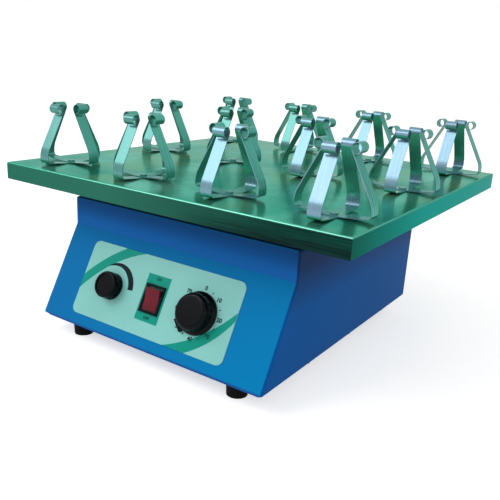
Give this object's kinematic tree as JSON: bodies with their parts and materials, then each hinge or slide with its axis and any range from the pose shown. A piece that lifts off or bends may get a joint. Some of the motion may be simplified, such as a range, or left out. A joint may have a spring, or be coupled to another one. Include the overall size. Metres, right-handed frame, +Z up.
{
  "type": "orbital shaker",
  "caption": "Bench-top orbital shaker: a square stainless deck with crossed spring flask clamps, carried round above a sloping-front cabinet with knobs and a rocker switch.",
  "frame": {"origin": "on the bench, under the middle of the box that holds the whole machine at rest", "axes": "+X along the front to the right, +Y to the rear, +Z up"},
  "size_m": [0.45, 0.4598, 0.2604],
  "materials": {
    "blue_paint": "powder-coated, satin",
    "zinc_plate": "zinc-plated, dull",
    "foot_rubber": "matt",
    "mint_panel": "printed, satin",
    "black_plastic": "moulded, satin",
    "knob_plastic": "moulded, glossy",
    "red_rocker": "moulded, satin",
    "turned_steel": "ground and turned",
    "cast_alloy": "cast and turned",
    "grey_paint": "enamelled, satin",
    "dark_iron": "laminated and magnetic iron",
    "belt_rubber": "matt",
    "board_laminate": "glass laminate",
    "stainless_tray": "bright brushed",
    "stainless_spring": "bright rolled"
  },
  "bodies": {
    "root": {"cabinet_shell": "blue_paint", "base_plate": "blue_paint", "base_screws": "zinc_plate", "rubber_feet": "foot_rubber", "foot_screws": "zinc_plate", "control_plate": "mint_panel", "potentiometer": "turned_steel", "timer_case": "black_plastic", "rocker_housing": "black_plastic", "drive_plate": "zinc_plate", "drive_screws": "zinc_plate", "spindle_housing": "cast_alloy", "spindle_bearings": "turned_steel", "drive_belt": "belt_rubber", "motor_can": "grey_paint", "motor_cap": "cast_alloy", "motor_magnets": "dark_iron", "idler_housings": "cast_alloy", "idler_bearings": "turned_steel", "cord_gland": "black_plastic", "fuse_holder": "black_plastic", "control_board": "board_laminate", "board_standoffs": "zinc_plate", "transformer": "grey_paint"},
    "crank": {"spindle_shaft": "turned_steel", "crank_head": "turned_steel", "counterweight": "grey_paint", "drive_pulley": "cast_alloy"},
    "platform": {"platform_tray": "stainless_tray", "platform_carrier": "zinc_plate", "platform_hub": "cast_alloy", "platform_bearing": "turned_steel", "idler_cups": "cast_alloy", "deck_idler_bearings": "turned_steel", "clamp_screws": "stainless_spring", "clamp_nuts": "zinc_plate", "clamp_front_1": "stainless_spring", "clamp_front_2": "stainless_spring", "clamp_front_3": "stainless_spring", "clamp_front_4": "stainless_spring", "clamp_middle_1": "stainless_spring", "clamp_middle_2": "stainless_spring", "clamp_middle_3": "stainless_spring", "clamp_middle_4": "stainless_spring", "clamp_rear_1": "stainless_spring", "clamp_rear_2": "stainless_spring", "clamp_rear_3": "stainless_spring", "clamp_rear_4": "stainless_spring"},
    "motor_rotor": {"motor_shaft": "turned_steel", "motor_armature": "dark_iron", "motor_pulley": "cast_alloy"},
    "idler_front_left": {"idler_crank_front_left": "turned_steel"},
    "idler_front_right": {"idler_crank_front_right": "turned_steel"},
    "idler_rear_left": {"idler_crank_rear_left": "turned_steel"},
    "idler_rear_right": {"idler_crank_rear_right": "turned_steel"},
    "speed_control": {"speed_knob": "knob_plastic", "speed_shaft": "turned_steel"},
    "timer_control": {"timer_knob": "knob_plastic", "timer_shaft": "turned_steel"},
    "power_rocker": {"rocker_button": "red_rocker"}
  },
  "joints": [
    {"name": "crank_spin", "type": "hinge", "parent": "root", "child": "crank", "pos_m": [0, -0.00759, 0.154], "axis": [0, 0, 1], "continuous": true},
    {"name": "platform_orbit", "type": "hinge", "parent": "crank", "child": "platform", "pos_m": [0, 0.00491, 0.1888], "axis": [0, 0, 1], "continuous": true},
    {"name": "motor_spin", "type": "hinge", "parent": "root", "child": "motor_rotor", "pos_m": [0, 0.08041, 0.07], "axis": [0, 0, 1], "continuous": true},
    {"name": "idler_front_left_spin", "type": "hinge", "parent": "root", "child": "idler_front_left", "pos_m": [-0.11, -0.11759, 0.154], "axis": [0, 0, 1], "continuous": true},
    {"name": "idler_front_right_spin", "type": "hinge", "parent": "root", "child": "idler_front_right", "pos_m": [0.11, -0.11759, 0.154], "axis": [0, 0, 1], "continuous": true},
    {"name": "idler_rear_left_spin", "type": "hinge", "parent": "root", "child": "idler_rear_left", "pos_m": [-0.11, 0.10241, 0.154], "axis": [0, 0, 1], "continuous": true},
    {"name": "idler_rear_right_spin", "type": "hinge", "parent": "root", "child": "idler_rear_right", "pos_m": [0.11, 0.10241, 0.154], "axis": [0, 0, 1], "continuous": true},
    {"name": "speed_knob_turn", "type": "hinge", "parent": "root", "child": "speed_control", "pos_m": [-0.0655, -0.2054, 0.06897], "axis": [0, -0.8819, 0.4715], "range_deg": [-150, 150]},
    {"name": "timer_knob_turn", "type": "hinge", "parent": "root", "child": "timer_control", "pos_m": [0.0575, -0.20455, 0.07056], "axis": [0, -0.8819, 0.4715], "range_deg": [-90, 225]},
    {"name": "rocker_tilt", "type": "hinge", "parent": "root", "child": "power_rocker", "pos_m": [-0.0045, -0.20605, 0.06988], "axis": [1, 0, 0], "range_deg": [-24, 0]}
  ],
  "couplings": [
    {"joint": "platform_orbit", "follows": "crank_spin", "ratio": -1},
    {"joint": "motor_spin", "follows": "crank_spin", "ratio": 3.0231},
    {"joint": "idler_front_left_spin", "follows": "crank_spin", "ratio": 1},
    {"joint": "idler_front_right_spin", "follows": "crank_spin", "ratio": 1},
    {"joint": "idler_rear_left_spin", "follows": "crank_spin", "ratio": 1},
    {"joint": "idler_rear_right_spin", "follows": "crank_spin", "ratio": 1}
  ]
}
